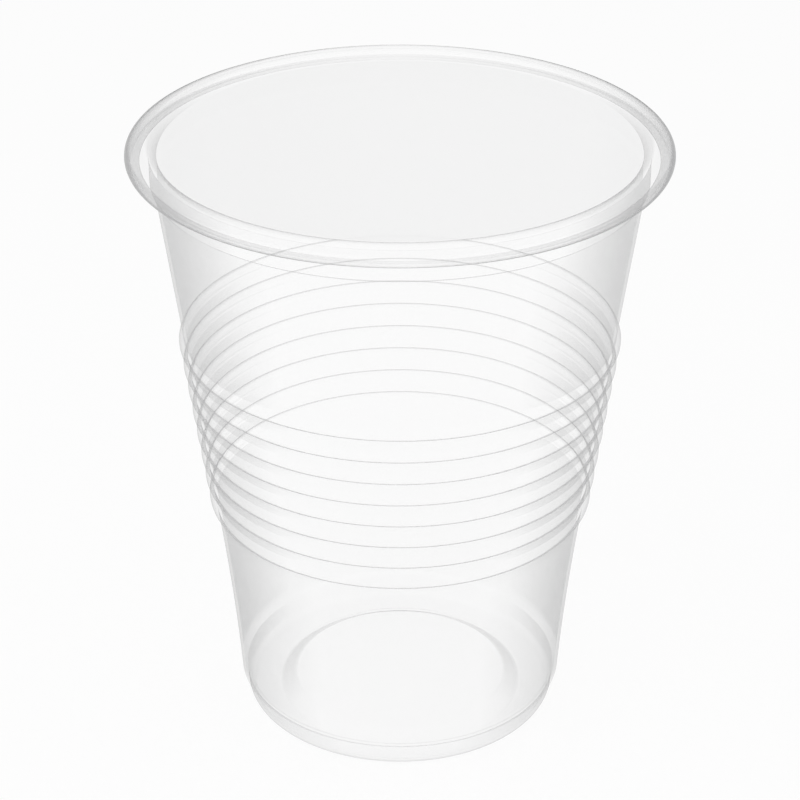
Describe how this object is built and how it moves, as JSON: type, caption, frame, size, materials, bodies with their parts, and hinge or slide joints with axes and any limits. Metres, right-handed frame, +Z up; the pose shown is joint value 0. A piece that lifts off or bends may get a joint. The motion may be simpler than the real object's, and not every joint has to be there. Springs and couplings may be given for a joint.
{
  "type": "plastic disposable cup",
  "caption": "Clear thin-walled disposable drinking cup: tapered wall with raised hoops, a curled rim and a raised base panel.",
  "frame": {"origin": "centre of the flat ring that the cup stands on", "axes": "+Z up along the axis of the cup, from the base to the rim; the cup is the same all round, so +X and +Y are free"},
  "size_m": [0.0702, 0.0702, 0.083],
  "materials": {
    "clear_plastic": "clear, glossy, faintly hazy"
  },
  "bodies": {
    "root": {"cup": "clear_plastic"}
  },
  "joints": []
}
